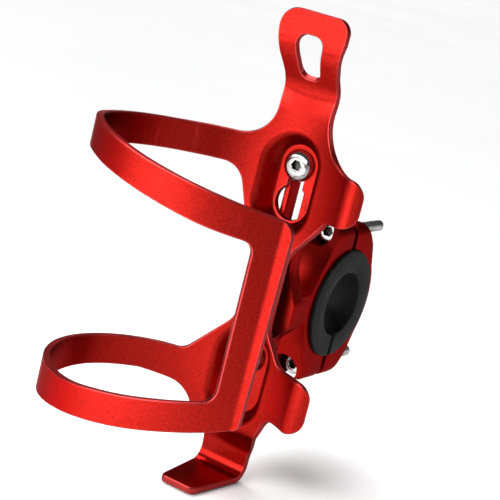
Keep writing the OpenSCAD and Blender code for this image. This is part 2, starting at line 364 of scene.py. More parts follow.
class Graph:
    """A material's node tree with short ways to add and join nodes."""

    def __init__(self, name: str) -> None:
        """Starts a material with a Principled shader.

        Args:
            name: Name of the material.
        """
        self.material = bpy.data.materials.new(name)
        self.material.use_nodes = True
        self.nodes = self.material.node_tree.nodes
        self.links = self.material.node_tree.links
        self.shader = self.nodes["Principled BSDF"]
        self.place = self.nodes.new("ShaderNodeTexCoord").outputs["Object"]

    def group(self, tree: bpy.types.NodeTree, **values: float) -> bpy.types.Node:
        """Places a node group that reads the object's own coordinates.

        Args:
            tree: The group.
            **values: Its number inputs, with _ for a space.

        Returns:
            The placed node.
        """
        node = self.nodes.new("ShaderNodeGroup")
        node.node_tree = tree
        self.links.new(self.place, node.inputs["Vector"])
        for name, value in values.items():
            node.inputs[name.replace("_", " ")].default_value = value
        return node

    def colours(self, factor: bpy.types.NodeSocket,
                stops: list[tuple[float, tuple[float, float, float]]]) -> bpy.types.NodeSocket:
        """Colour ramp driven by a value.

        Args:
            factor: The value.
            stops: Position and colour of each stop.

        Returns:
            The ramp's colour output.
        """
        ramp = self.nodes.new("ShaderNodeValToRGB")
        elements = ramp.color_ramp.elements
        while len(elements) < len(stops):
            elements.new(0.5)
        for element, (position, colour) in zip(elements, stops):
            element.position = position
            element.color = (*colour, 1.0)
        self.links.new(factor, ramp.inputs["Fac"])
        return ramp.outputs["Color"]

    def ranged(self, value: bpy.types.NodeSocket, low: float, high: float) -> bpy.types.NodeSocket:
        """Maps a value from 0..1 to another range.

        Args:
            value: The value.
            low: What 0 becomes.
            high: What 1 becomes.

        Returns:
            The mapped value.
        """
        node = self.nodes.new("ShaderNodeMapRange")
        node.inputs["To Min"].default_value = low
        node.inputs["To Max"].default_value = high
        self.links.new(value, node.inputs["Value"])
        return node.outputs[0]

    def mixed(self, factor: bpy.types.NodeSocket, a: bpy.types.NodeSocket,
              b: tuple[float, float, float]) -> bpy.types.NodeSocket:
        """Mixes a colour towards a plain one.

        Args:
            factor: How much of the plain colour shows.
            a: The colour that changes over the surface.
            b: The plain colour.

        Returns:
            The mixed colour.
        """
        node = self.nodes.new("ShaderNodeMix")
        node.data_type = "RGBA"
        sockets = [s for s in node.inputs if s.type == "RGBA"]
        sockets[1].default_value = (*b, 1.0)
        self.links.new(factor, node.inputs["Factor"])
        self.links.new(a, sockets[0])
        return [s for s in node.outputs if s.type == "RGBA"][0]

    def bump(self, height: bpy.types.NodeSocket, strength: float, depth_mm: float) -> None:
        """Raises the surface by a height.

        Args:
            height: The height, 0 to 1.
            strength: How strongly the bump shades.
            depth_mm: What a height of 1 stands for.
        """
        node = self.nodes.new("ShaderNodeBump")
        node.inputs["Strength"].default_value = strength
        node.inputs["Distance"].default_value = depth_mm * MM
        self.links.new(height, node.inputs["Height"])
        if self.shader.inputs["Normal"].is_linked:
            earlier = self.shader.inputs["Normal"].links[0].from_socket
            self.links.new(earlier, node.inputs["Normal"])
        self.links.new(node.outputs["Normal"], self.shader.inputs["Normal"])

    def feed(self, name: str, value: bpy.types.NodeSocket) -> None:
        """Joins a node's output to one of the shader's inputs."""
        self.links.new(value, self.shader.inputs[name])

    def fixed(self, **values: float) -> None:
        """Sets plain numbers on the shader's own sockets, with _ for a space."""
        for name, value in values.items():
            self.shader.inputs[name.replace("_", " ")].default_value = value

    def tinted(self, colour: tuple[float, float, float]) -> None:
        """Sets the colour that a metal turns to where it is seen edge-on."""
        self.shader.inputs["Specular Tint"].default_value = (*colour, 1.0)


@dataclass(frozen=True)
class RedAnodise:
    """Bead-blasted aluminium with a deep red dye."""

    name: str = "red_anodise"
    deep: tuple[float, float, float] = (0.165, 0.003, 0.002)
    bright: tuple[float, float, float] = (0.34, 0.010, 0.006)
    edge_on: tuple[float, float, float] = (0.38, 0.02, 0.02)
    scratched: tuple[float, float, float] = (0.38, 0.02, 0.02)
    rough_low: float = 0.26
    rough_high: float = 0.38
    lacquer: float = 0.05
    grain_strength: float = 0.6
    grain_mm: float = 0.02

    def material(self) -> bpy.types.Material:
        """Builds the finish."""
        graph = Graph(self.name)
        grain = graph.group(BlastGrain.get(), Grain_Scale=3000.0, Cloud_Scale=30.0)
        wear = graph.group(HandlingWear.get(), Scratch_Scale=80.0, Smudge_Scale=20.0)
        base = graph.colours(grain.outputs["Speckle"], [(0.0, self.deep), (1.0, self.bright)])
        graph.feed("Base Color", graph.mixed(wear.outputs["Scratch"], base, self.scratched))
        graph.feed("Roughness", graph.ranged(wear.outputs["Smudge"], self.rough_low, self.rough_high))
        graph.fixed(Metallic=1.0, Coat_Weight=self.lacquer, Coat_Roughness=0.3)
        graph.tinted(self.edge_on)
        graph.bump(grain.outputs["Height"], self.grain_strength, self.grain_mm)
        return graph.material


@dataclass(frozen=True)
class CutEdgePaintedHighlight:
    """The thin edge of the sheet: the same dye on a smoother, cut surface, in a lighter tone that paints
    a highlight along the rims.
    """

    name: str = "cut_edge_painted_highlight"
    dark: tuple[float, float, float] = (0.26, 0.012, 0.012)
    light: tuple[float, float, float] = (0.36, 0.03, 0.028)
    edge_on: tuple[float, float, float] = (0.35, 0.08, 0.08)
    rough_low: float = 0.30
    rough_high: float = 0.42
    lacquer: float = 0.2

    def material(self) -> bpy.types.Material:
        """Builds the finish."""
        graph = Graph(self.name)
        grain = graph.group(BlastGrain.get(), Grain_Scale=1500.0, Cloud_Scale=60.0)
        base = graph.colours(grain.outputs["Cloud"], [(0.3, self.dark), (0.7, self.light)])
        graph.feed("Base Color", base)
        graph.feed("Roughness", graph.ranged(grain.outputs["Cloud"], self.rough_low, self.rough_high))
        graph.fixed(Metallic=1.0, Coat_Weight=self.lacquer, Coat_Roughness=0.3)
        graph.tinted(self.edge_on)
        graph.bump(grain.outputs["Cloud"], 0.1, 0.01)
        return graph.material


@dataclass(frozen=True)
class Rubber:
    """Matt black moulded rubber."""

    name: str = "sleeve_rubber"
    dark: tuple[float, float, float] = (0.003, 0.003, 0.003)
    light: tuple[float, float, float] = (0.008, 0.008, 0.008)
    scuffed: tuple[float, float, float] = (0.02, 0.02, 0.02)
    rough_low: float = 0.5
    rough_high: float = 0.72
    gloss: float = 0.12
    grain_strength: float = 0.5
    grain_mm: float = 0.03

    def material(self) -> bpy.types.Material:
        """Builds the finish."""
        graph = Graph(self.name)
        grain = graph.group(BlastGrain.get(), Grain_Scale=1300.0, Cloud_Scale=55.0)
        wear = graph.group(HandlingWear.get(), Scratch_Scale=140.0, Smudge_Scale=70.0)
        base = graph.colours(grain.outputs["Cloud"], [(0.25, self.dark), (0.8, self.light)])
        graph.feed("Base Color", graph.mixed(wear.outputs["Scratch"], base, self.scuffed))
        graph.feed("Roughness", graph.ranged(wear.outputs["Smudge"], self.rough_low, self.rough_high))
        graph.fixed(Specular_IOR_Level=self.gloss)
        graph.bump(grain.outputs["Height"], self.grain_strength, self.grain_mm)
        return graph.material


@dataclass(frozen=True)
class Steel:
    """Bright steel: plated screws or polished stainless bolts, and a dark copy that paints shade inside
    the hexagon sockets.
    """

    name: str
    dark: tuple[float, float, float]
    light: tuple[float, float, float]
    rough_low: float
    rough_high: float

    def material(self) -> bpy.types.Material:
        """Builds the finish."""
        graph = Graph(self.name)
        grain = graph.group(BlastGrain.get(), Grain_Scale=1800.0, Cloud_Scale=260.0)
        wear = graph.group(HandlingWear.get(), Scratch_Scale=420.0, Smudge_Scale=150.0)
        base = graph.colours(grain.outputs["Cloud"], [(0.3, self.dark), (0.7, self.light)])
        graph.feed("Base Color", graph.mixed(wear.outputs["Scratch"], base, self.light))
        graph.feed("Roughness", graph.ranged(wear.outputs["Smudge"], self.rough_low, self.rough_high))
        graph.fixed(Metallic=1.0)
        graph.bump(wear.outputs["Scratch"], 0.15, 0.01)
        return graph.material


PLATED = Steel("plated_steel", (0.24, 0.24, 0.245), (0.40, 0.40, 0.41), 0.16, 0.28)
POLISHED = Steel("polished_steel", (0.17, 0.168, 0.165), (0.30, 0.295, 0.29), 0.10, 0.20)
# Dark steel for the inside of the hexagon sockets: painted shade.
SOCKET_SHADE = Steel("socket_shade", (0.035, 0.034, 0.033), (0.08, 0.078, 0.075), 0.40, 0.60)


# ---------------------------------------------------------------- bottle cage


@dataclass
class Recess:
    """A sunk seat for a cage bolt, with a slot through its floor."""

    bolt_z: float
    wide_end: bool
    run: float
    floor_radius: float = 7.0
    rim_radius: float = 10.8
    softness: float = 0.65
    slot_half: float = 2.7
    hole_radius: float = 5.5
    ring_step: float = 0.48
    ring_reach: tuple[float, float] = (1.0, 1.6)
    clear_reach: tuple[float, float] = (1.4, 2.0)
    point_step: float = 0.95

    def away(self, x: np.ndarray, z: np.ndarray) -> np.ndarray:
        """Distance from the line that the slot follows."""
        return np.hypot(x, z - np.clip(z, self.bolt_z - self.run, self.bolt_z))

    def clears(self, x: np.ndarray, z: np.ndarray) -> np.ndarray:
        """Tells which places lie on the sloping wall, where the rings take over."""
        away = self.away(x, z)
        inner, outer = self.clear_reach
        return (away > self.floor_radius - inner) & (away < self.rim_radius + outer)

    def depth_share(self, x: np.ndarray, z: np.ndarray) -> np.ndarray:
        """How far the sheet is sunk.

        Args:
            x: Distance from the middle of the plate.
            z: Height.

        Returns:
            0 on the plate, 1 on the floor and a soft slope between them.
        """
        width = self.rim_radius - self.floor_radius + 2 * self.softness
        return eased((self.rim_radius + self.softness - self.away(x, z)) / width)

    def keyhole(self, spacing: float) -> np.ndarray:
        """Outline of the slot; a wide end makes it a keyhole.

        Args:
            spacing: Longest distance between neighbouring points.

        Returns:
            Points of the outline, one row each.
        """
        radius = self.hole_radius if self.wide_end else self.slot_half
        meet = math.asin(self.slot_half / radius)
        low = self.bolt_z - self.run
        turn = np.linspace(math.pi / 2 + meet, 2.5 * math.pi - meet, 48)
        hole = np.c_[radius * np.cos(turn), low + radius * np.sin(turn)]
        turn = np.linspace(0, math.pi, 20)
        top = np.c_[self.slot_half * np.cos(turn), self.bolt_z + self.slot_half * np.sin(turn)]
        return evened(np.r_[hole, top], spacing)

    def rings(self) -> np.ndarray:
        """Mesh points on stadium rings across the sloping wall."""
        points = []
        low = self.bolt_z - self.run
        first = self.floor_radius - self.ring_reach[0]
        last = self.rim_radius + self.ring_reach[1]
        for away in np.arange(first, last, self.ring_step):
            steps = int(2 * math.pi * away / self.point_step)
            for turn in np.arange(steps) * 2 * math.pi / steps:
                centre = self.bolt_z if math.sin(turn) > 0 else low
                points.append((away * math.cos(turn), centre + away * math.sin(turn)))
            for z in np.arange(low + 0.5, self.bolt_z, self.point_step):
                points.extend([(away, z), (-away, z)])
        return np.array(points)


@dataclass
class SheetForm:
    """Bends the flat blank of the cage into its shape.

    On the blank, s runs round the bottle from the middle of the back towards
    the arms and v runs up; both are millimetres along the sheet.
    """

    axis_y: float
    radius: float
    floor_y: float
    foot_z: float
    foot_bend: float
    recesses: list[Recess]
    wing_angle: float = -38.0
    wing_bend: float = 4.0
    wing_turn: float = 75.0
    lip_angle: float = 236.0
    lip_bend: float = 2.5
    lip_turn: float = 45.0
    lean: float = 8.45
    lean_from: float = 69.0
    lean_to: float = 86.5
    neck_step: float = 3.15
    neck_from: float = -38.5
    neck_to: float = -47.0
    flat_above: float = 74.0
    flat_above_blend: float = 11.0
    flat_below: float = -47.0
    flat_below_blend: float = 9.0
    recess_half: float = 16.0
    probe: float = 0.02

    @property
    def wing_start(self) -> float:
        """Where the wings start to flare, along s."""
        return math.radians(self.wing_angle) * self.radius

    @property
    def lip_start(self) -> float:
        """Where the strut's lip starts to flare, along s."""
        return math.radians(self.lip_angle) * self.radius

    @property
    def bend_start(self) -> float:
        """Where the neck starts to turn into the foot, along v."""
        return self.foot_z + self.foot_bend

    @property
    def bend_end(self) -> float:
        """Where the foot is level, along v."""
        return self.bend_start - self.foot_bend * math.pi / 2

    def _flared(self, past: np.ndarray, angle: float, bend: float, turn: float,
                way: int) -> tuple[np.ndarray, np.ndarray]:
        """Plan position of points past the start of a flare, from the bottle's axis.

        Args:
            past: Distance along the sheet from the flare's start.
            angle: Angle round the bottle where the flare starts, in degrees.
            bend: Bend radius.
            turn: Angle of the bend in degrees.
            way: 1 where s grows outwards, -1 where it shrinks.

        Returns:
            X and Y of each point.
        """
        theta = math.radians(angle)
        out = np.array([-math.sin(theta), math.cos(theta)])
        along = way * np.array([-math.cos(theta), -math.sin(theta)])
        bent = np.minimum(past / bend, math.radians(turn))
        flat = np.maximum(past - bend * math.radians(turn), 0.0)
        a = bend * np.sin(bent) + flat * np.cos(bent)
        b = self.radius + bend * (1 - np.cos(bent)) + flat * np.sin(bent)
        return a * along[0] + b * out[0], a * along[1] + b * out[1]

    def plan(self, s: np.ndarray) -> tuple[np.ndarray, np.ndarray]:
        """Plan position of the rolled sheet.

        Args:
            s: Distance round the bottle.

        Returns:
            X and Y of each point, from the bottle's axis.
        """
        x = -self.radius * np.sin(s / self.radius)
        y = self.radius * np.cos(s / self.radius)
        wx, wy = self._flared(np.maximum(self.wing_start - s, 0), self.wing_angle,
                              self.wing_bend, self.wing_turn, -1)
        lx, ly = self._flared(np.maximum(s - self.lip_start, 0), self.lip_angle,
                              self.lip_bend, self.lip_turn, 1)
        wing, lip = s < self.wing_start, s > self.lip_start
        return np.where(wing, wx, np.where(lip, lx, x)), np.where(wing, wy, np.where(lip, ly, y))

    def middle(self, s: np.ndarray, v: np.ndarray) -> np.ndarray:
        """Bends places on the blank into space.

        Args:
            s: Distance round the bottle.
            v: Distance up the sheet.

        Returns:
            A point in the middle of the sheet's thickness for each place.
        """
        x, y = self.plan(s)
        rolled = eased((self.flat_above - v) / self.flat_above_blend)
        rolled = rolled * eased((v - self.flat_below) / self.flat_below_blend)
        x = rolled * x - (1 - rolled) * s
        y = self.axis_y + self.radius + rolled * (y - self.radius)
        y = y - self.lean * eased((v - self.lean_from) / (self.lean_to - self.lean_from))
        y = y + self.neck_step * eased((self.neck_from - v) / (self.neck_from - self.neck_to))
        bent = np.clip((self.bend_start - v) / self.foot_bend, 0, math.pi / 2)
        y = y - self.foot_bend * (1 - np.cos(bent)) - np.maximum(self.bend_end - v, 0)
        z = np.maximum(v, self.bend_start) - self.foot_bend * np.sin(bent)
        for recess in self.recesses:
            sunk = np.where(np.abs(s) < self.recess_half, recess.depth_share(x, v), 0.0)
            y = y + sunk * (self.floor_y - y)
        return np.stack([x, y, z], axis=-1)

    def normal(self, s: np.ndarray, v: np.ndarray) -> np.ndarray:
        """Unit normal of the sheet.

        Args:
            s: Distance round the bottle.
            v: Distance up the sheet.

        Returns:
            The normal at each place, pointing away from the bottle.
        """
        step = self.probe
        across = self.middle(s + step, v) - self.middle(s - step, v)
        up = self.middle(s, v + step) - self.middle(s, v - step)
        n = np.cross(across, up)
        return n / np.linalg.norm(n, axis=-1, keepdims=True)

    def direction(self, s: np.ndarray, v: np.ndarray, way: np.ndarray) -> np.ndarray:
        """Turns directions on the blank into directions in space.

        Args:
            s: Distance round the bottle.
            v: Distance up the sheet.
            way: Direction on the blank at each place.

        Returns:
            A unit vector for each place.
        """
        step = self.probe
        d = self.middle(s + step * way[:, 0], v + step * way[:, 1]) - self.middle(s, v)
        return d / np.linalg.norm(d, axis=-1, keepdims=True)


@dataclass
class BottleCage:
    """The formed sheet: plate, wings, two arms, strut, tab and foot."""

    node: str = "bottle_cage"
    thickness: float = 2.2
    edge_round: float = 0.42
    edge_steps: int = 3
    spacing: float = 1.5
    rim_spacing: float = 0.6
    hole_spacing: float = 0.5
    flare_spacing: float = 0.55
    bend_spacing: float = 0.5
    neck_spacing: float = 0.8
    tab_spacing: float = 0.9
    rim_clear: float = 0.5
    foot_bend: float = 4.6
    foot_flat: float = 22.2
    keyhole_run: float = 12.2
    strip_half: float = 6.5
    neck_half: float = 8.7
    tip_half: float = 6.2
    form: SheetForm = field(init=False)

    def __post_init__(self) -> None:
        """Places the sheet where the CAD node and its bolts are."""
        low, high = lowest(self.node), highest(self.node)
        bolts = [(lowest(n).z + highest(n).z) / 2 for n in ("cage_bolt_upper", "cage_bolt_lower")]
        ring_out = -low.x
        self.form = SheetForm(
            axis_y=low.y + ring_out,
            radius=ring_out - self.thickness / 2,
            floor_y=high.y - self.thickness / 2,
            foot_z=low.z + self.thickness / 2,
            foot_bend=self.foot_bend,
            recesses=[Recess(z, wide, self.keyhole_run) for z, wide in zip(bolts, (True, False))],
        )
        self.tab_top = high.z
        self.foot_end = self.form.bend_end - self.foot_flat

    def _arc(self, degrees: float) -> float:
        """Distance round the sheet for an angle round the bottle."""
        return math.radians(degrees) * self.form.radius

    def _edge(self, points: list[tuple[float, float]]) -> list[tuple[float, float, float]]:
        """Long edge of an arm.

        Args:
            points: Angle round the bottle and height of points on the edge.

        Returns:
            Outline points along the edge, without rounding.
        """
        curve = spline([(self._arc(a), z) for a, z in points], self.spacing)
        return [(s, z, 0.0) for s, z in curve]

    def outer(self) -> np.ndarray:
        """Outer outline of the blank, counter-clockwise."""
        lip = self.form.lip_start
        wing = self.form.wing_start - math.radians(self.form.wing_turn) * self.form.wing_bend - 1.0
        top = self.tab_top
        lower_arm = [(50, -28.6), (80, -28.1), (104, -28.4), (128, -28.8), (161, -26.3),
                     (190, -23.1), (214, -19.9), (236, -17.2)]
        upper_arm = [(236, 43.9), (205, 47.6), (180, 50.6), (155, 53.3), (128, 54.8),
                     (97, 53.8), (60, 53.1), (42, 53.2)]
        foot_side = self.form.bend_start - 5
        return rounded([
            (-self.tip_half, self.foot_end, 2.4), (self.tip_half, self.foot_end, 2.4),
            (self.neck_half, foot_side, 8), (self.neck_half, -46.5, 10), (17.6, -31.2, 12),
            *self._edge(lower_arm),
            (lip + 3.6, -16.8, 2.4), (lip + 5.0, 43.0, 4.4),
            *self._edge(upper_arm),
            (9.6, 53.4, 11), (9.4, 76.5, 12), (11.8, 88, 10), (11.8, top, 6.0),
            (-11.8, top, 4.5), (-11.8, 88, 10), (-9.6, 76.5, 12), (-9.8, 50.6, 15.5),
            (wing, 50.6, 5), (wing, 36.0, 6), (-19.4, 34.6, 4.5),
            (-self.strip_half, 20, 10), (-self.strip_half, -5.5, 8), (-14.8, -14.6, 7),
            (wing, -13.8, 5), (wing, -30.8, 6), (-15.3, -31.4, 5),
            (-self.neck_half, -47, 12), (-self.neck_half, foot_side, 8)], self.rim_spacing)

    def window(self) -> np.ndarray:
        """Opening between the two arms, clockwise."""
        lower = [(40, -19.2), (60, -18.7), (100, -18.0), (153, -17.4), (180, -15.0), (205, -12.0),
                 (223, -9.9)]
        upper = [(223, 36.5), (205, 38.1), (180, 41.4), (157, 44.0), (132, 45.5), (90, 44.0),
                 (55, 43.4), (42, 43.3)]
        strut = self._arc(227.5)
        return rounded([
            (self.strip_half, -4.5, 8), (20.5, -19.7, 5), *self._edge(lower),
            (strut, -9.4, 4.2), (strut, 36.2, 3.6), *self._edge(upper),
            (17, 43.2, 8), (11.7, 28, 15), (self.strip_half, 18, 10)], self.rim_spacing)[::-1]

    def tab_hole(self) -> np.ndarray:
        """Hole in the tab, clockwise."""
        return rounded([
            (-3.3, 75.4, 2.8), (3.3, 75.4, 2.8), (4.9, 88.2, 3.2), (-4.9, 88.2, 3.2)],
            self.hole_spacing)[::-1]

    def loops(self) -> list[np.ndarray]:
        """All outlines of the blank with the material on their left."""
        keyholes = [r.keyhole(self.hole_spacing)[::-1] for r in self.form.recesses]
        return [self.outer(), self.window(), self.tab_hole(), *keyholes]

    @staticmethod
    def _left(loop: np.ndarray) -> np.ndarray:
        """Unit vectors that point into the material at each point of a loop."""
        along = np.roll(loop, -1, axis=0) - np.roll(loop, 1, axis=0)
        along = along / np.linalg.norm(along, axis=1, keepdims=True)
        return np.c_[-along[:, 1], along[:, 0]]

    def _fill_points(self, insets: list[np.ndarray]) -> np.ndarray:
        """Points inside the blank that the two faces are meshed on.

        Args:
            insets: Outlines of the flat part of the faces.

        Returns:
            The points, one row each, denser where the sheet bends.
        """
        form = self.form
        low, high = insets[0].min(axis=0), insets[0].max(axis=0)
        columns = np.r_[np.arange(low[0], form.wing_start, self.flare_spacing),
                        np.arange(form.wing_start, form.lip_start, self.spacing),
                        np.arange(form.lip_start, high[0], self.flare_spacing)]
        rows = np.r_[np.arange(low[1], form.bend_end, self.spacing),
                     np.arange(form.bend_end, form.bend_start, self.bend_spacing),
                     np.arange(form.bend_start, form.neck_from + 1, self.neck_spacing),
                     np.arange(form.neck_from + 1, form.lean_from - 2, self.spacing),
                     np.arange(form.lean_from - 2, high[1], self.tab_spacing)]
        grid = np.stack(np.meshgrid(columns, rows), axis=-1).reshape(-1, 2)
        rings = np.concatenate([r.rings() for r in form.recesses])
        walls = np.zeros(len(grid), bool)
        for recess in form.recesses:
            walls |= recess.clears(grid[:, 0], grid[:, 1])
        points = np.r_[grid[~walls], rings]
        points = points[inside(points, insets)]
        return points[~near(points, np.concatenate(insets), self.rim_clear)]

    def build(self) -> bpy.types.Object:
        """Meshes the sheet: two faces joined by rounded edges."""
        loops = self.loops()
        lefts = [self._left(loop) for loop in loops]
        insets = [loop + left * self.edge_round for loop, left in zip(loops, lefts)]
        inner = self._fill_points(insets)
        flat = np.concatenate([*insets, inner])
        edges, start = [], 0
        for loop in insets:
            count = len(loop)
            edges += [(start + i, start + (i + 1) % count) for i in range(count)]
            start += count
        cdt = delaunay_2d_cdt([Vector(p) for p in flat], edges, [], 0, 1e-6, True)
        points = np.array([[p.x, p.y] for p in cdt[0]])
        index = {source: new for new, sources in enumerate(cdt[3]) for source in sources}
        triangles = np.array([t for t in cdt[2] if len(t) == 3])
        middle = points[triangles].mean(axis=1)
        triangles = triangles[inside(middle, insets)]
        a, b, c = (points[triangles[:, k]] for k in range(3))
        turned = (b[:, 0] - a[:, 0]) * (c[:, 1] - a[:, 1]) < (b[:, 1] - a[:, 1]) * (c[:, 0] - a[:, 0])
        triangles[turned] = triangles[turned][:, ::-1]
        return self._assemble(points, triangles, index, loops, lefts)

    def _assemble(self, points: np.ndarray, triangles: np.ndarray, index: dict[int, int],
                  loops: list[np.ndarray], lefts: list[np.ndarray]) -> bpy.types.Object:
        """Bends the blank, adds its thickness and rounds its edges.

        Args:
            points: Mesh points on the blank.
            triangles: Triangles between them, counter-clockwise.
            index: From the order of the loops' points to the mesh points.
            loops: Outlines of the blank.
            lefts: Direction into the material at each loop point.

        Returns:
            The finished object.
        """
        half = self.thickness / 2
        form = self.form
        mid = form.middle(points[:, 0], points[:, 1])
        normal = form.normal(points[:, 0], points[:, 1])
        verts = [mid + normal * half, mid - normal * half]
        normals = [normal, -normal]
        count = len(points)
        faces = [tuple(t) for t in triangles] + [tuple(count + t[::-1]) for t in triangles]
        rim_from = len(faces)
        total, used = 2 * count, 0
        turns = np.linspace(0, math.pi / 2, self.edge_steps + 1)
        profile = [(t, 1) for t in turns[1:]] + [(t, -1) for t in turns[:0:-1]]
        for loop, left in zip(loops, lefts):
            size = len(loop)
            ring = np.array([index[used + i] for i in range(size)])
            used += size
            rows = [ring]
            for turn, face in profile:
                at = loop + left * self.edge_round * (1 - math.sin(turn))
                n = form.normal(at[:, 0], at[:, 1])
                out = -form.direction(at[:, 0], at[:, 1], left)
                height = face * (half - self.edge_round * (1 - math.cos(turn)))
                verts.append(form.middle(at[:, 0], at[:, 1]) + n * height)
                normals.append(out * math.sin(turn) + n * face * math.cos(turn))
                rows.append(np.arange(total, total + size))
                total += size
            rows.append(ring + count)
            for upper, lower in zip(rows[:-1], rows[1:]):
                for i in range(size):
                    j = (i + 1) % size
                    faces.append((upper[i], lower[i], lower[j], upper[j]))
        mesh = bpy.data.meshes.new(self.node)
        mesh.from_pydata((np.concatenate(verts) * MM).tolist(), [], [tuple(map(int, f)) for f in faces])
        for polygon in mesh.polygons:
            polygon.use_smooth = True
            # Rim faces take the lighter edge finish, a painted highlight along the cut edges.
            polygon.material_index = 1 if polygon.index >= rim_from else 0
        stacked = np.concatenate(normals)
        stacked = stacked / np.linalg.norm(stacked, axis=1, keepdims=True)
        mesh.normals_split_custom_set_from_vertices(stacked.tolist())
        return make_object("formed_cage", mesh)

    def dress(self, piece: bpy.types.Object) -> None:
        """Gives the sheet its finish and its edges a lighter one, a painted highlight along the rims."""
        piece.data.materials.append(RedAnodise(name="cage_red_anodise").material())
        piece.data.materials.append(CutEdgePaintedHighlight().material())

    def place(self) -> bpy.types.Object:
        """Builds and dresses the sheet and puts it on its body."""
        piece = self.build()
        self.dress(piece)
        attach(piece, "cage")
        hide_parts(self.node)
        return piece


# ---------------------------------------------------------------- clamp


@dataclass
class MachinedPart:
    """A milled or moulded part: the CAD shape with its edges broken."""

    node: str
    name: str
    body: str
    slot: str
    finish: RedAnodise | Rubber
    edge: float = 0.45
    steps: int = 3
    sharp: float = 28.0
    flat: float = 0.6
    crease: float = 40.0
    weld: float = 0.002

    def build(self) -> bpy.types.Object:
        """Copies the CAD shape and rounds every sharp edge."""
        shape = bmesh.new()
        shape.from_mesh(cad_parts[self.node].data)
        bmesh.ops.remove_doubles(shape, verts=shape.verts, dist=self.weld * MM)
        bmesh.ops.dissolve_limit(shape, angle_limit=math.radians(self.flat),
                                 verts=shape.verts, edges=shape.edges)
        limit = math.radians(self.sharp)
        edges = [e for e in shape.edges if e.is_manifold and e.calc_face_angle(0.0) > limit]
        bmesh.ops.bevel(shape, geom=edges, offset=self.edge * MM, offset_type="OFFSET",
                        segments=self.steps, profile=0.5, affect="EDGES", clamp_overlap=True)
        bmesh.ops.triangulate(shape, faces=[f for f in shape.faces if len(f.verts) > 4])
        mesh = bpy.data.meshes.new(self.name)
        shape.to_mesh(mesh)
        shape.free()
        for polygon in mesh.polygons:
            polygon.use_smooth = True
        mesh.set_sharp_from_angle(angle=math.radians(self.crease))
        return make_object(self.name, mesh)

    def place(self) -> bpy.types.Object:
        """Builds and dresses the part and puts it on its body."""
        piece = self.build()
        piece.data.materials.append(self.finish.material())
        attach(piece, self.body)
        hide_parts(self.node)
        return piece


# ---------------------------------------------------------------- fasteners


@dataclass
class TurnedPart:
    """A part made of rings around an axis along Y."""

    name: str
    axis_x: float
    axis_z: float
    sides: int = 48
    crease: float = 32.0
    rows: list[np.ndarray] = field(default_factory=list)

    def ring(self, y: float, radius: float, outline: Outline = Outline.ROUND,
             clip: float | None = None) -> None:
        """Adds one ring.

        Args:
            y: Place along the axis.
            radius: Radius, or half the width across flats of a hexagon.
            outline: Shape of the ring.
            clip: Radius that cuts off a hexagon's corners.
        """
        turn = np.arange(self.sides) * 2 * math.pi / self.sides
        r = np.full(self.sides, radius)
        if outline is Outline.HEXAGON:
            r = radius / np.cos((turn + math.pi / 6) % (math.pi / 3) - math.pi / 6)
        if clip is not None:
            r = np.minimum(r, clip)
        self._add(y, r, turn)

    def thread_ring(self, y: float, crest: float, root: float, pitch: float, limit: float) -> None:
        """Adds one ring of a thread.

        Args:
            y: Place along the axis.
            crest: Radius of the thread's crests.
            root: Radius of its roots.
            pitch: Distance from crest to crest.
            limit: Radius that nothing stands above here.
        """
        turn = np.arange(self.sides) * 2 * math.pi / self.sides
        phase = (y / pitch - turn / (2 * math.pi)) % 1.0
        wave = 1.0 - np.clip(np.abs(phase - 0.5) * 2.6 - 0.3, 0.0, 1.0)
        self._add(y, np.minimum(root + (crest - root) * wave, limit), turn)

    def _add(self, y: float, r: np.ndarray, turn: np.ndarray) -> None:
        """Stores a ring of points."""
        self.rows.append(np.c_[self.axis_x + r * np.sin(turn), np.full(len(turn), y),
                               self.axis_z + r * np.cos(turn)])

    def mesh(self, closed: bool = False) -> bpy.types.Object:
        """Joins the rings.

        Args:
            closed: Joins the last ring to the first, for a part with a bore.

        Returns:
            The finished object.
        """
        n = self.sides
        verts = [tuple(p) for row in self.rows for p in row * MM]
        faces = []
        pairs = [(k, k + 1) for k in range(len(self.rows) - 1)]
        if closed:
            pairs.append((len(self.rows) - 1, 0))
        for a, b in pairs:
            faces += [(a * n + i, a * n + (i + 1) % n, b * n + (i + 1) % n, b * n + i)
                      for i in range(n)]
        if not closed:
            for k, reverse in ((0, True), (len(self.rows) - 1, False)):
                centre = len(verts)
                verts.append(tuple(self.rows[k].mean(axis=0) * MM))
                fan = [(k * n + i, k * n + (i + 1) % n, centre) for i in range(n)]
                faces += [f[::-1] for f in fan] if reverse else fan
        mesh = bpy.data.meshes.new(self.name)
        mesh.from_pydata(verts, [], faces)
        shape = bmesh.new()
        shape.from_mesh(mesh)
        bmesh.ops.recalc_face_normals(shape, faces=shape.faces)
        shape.to_mesh(mesh)
        shape.free()
        for polygon in mesh.polygons:
            polygon.use_smooth = True
        mesh.set_sharp_from_angle(angle=math.radians(self.crease))
        return make_object(self.name, mesh)


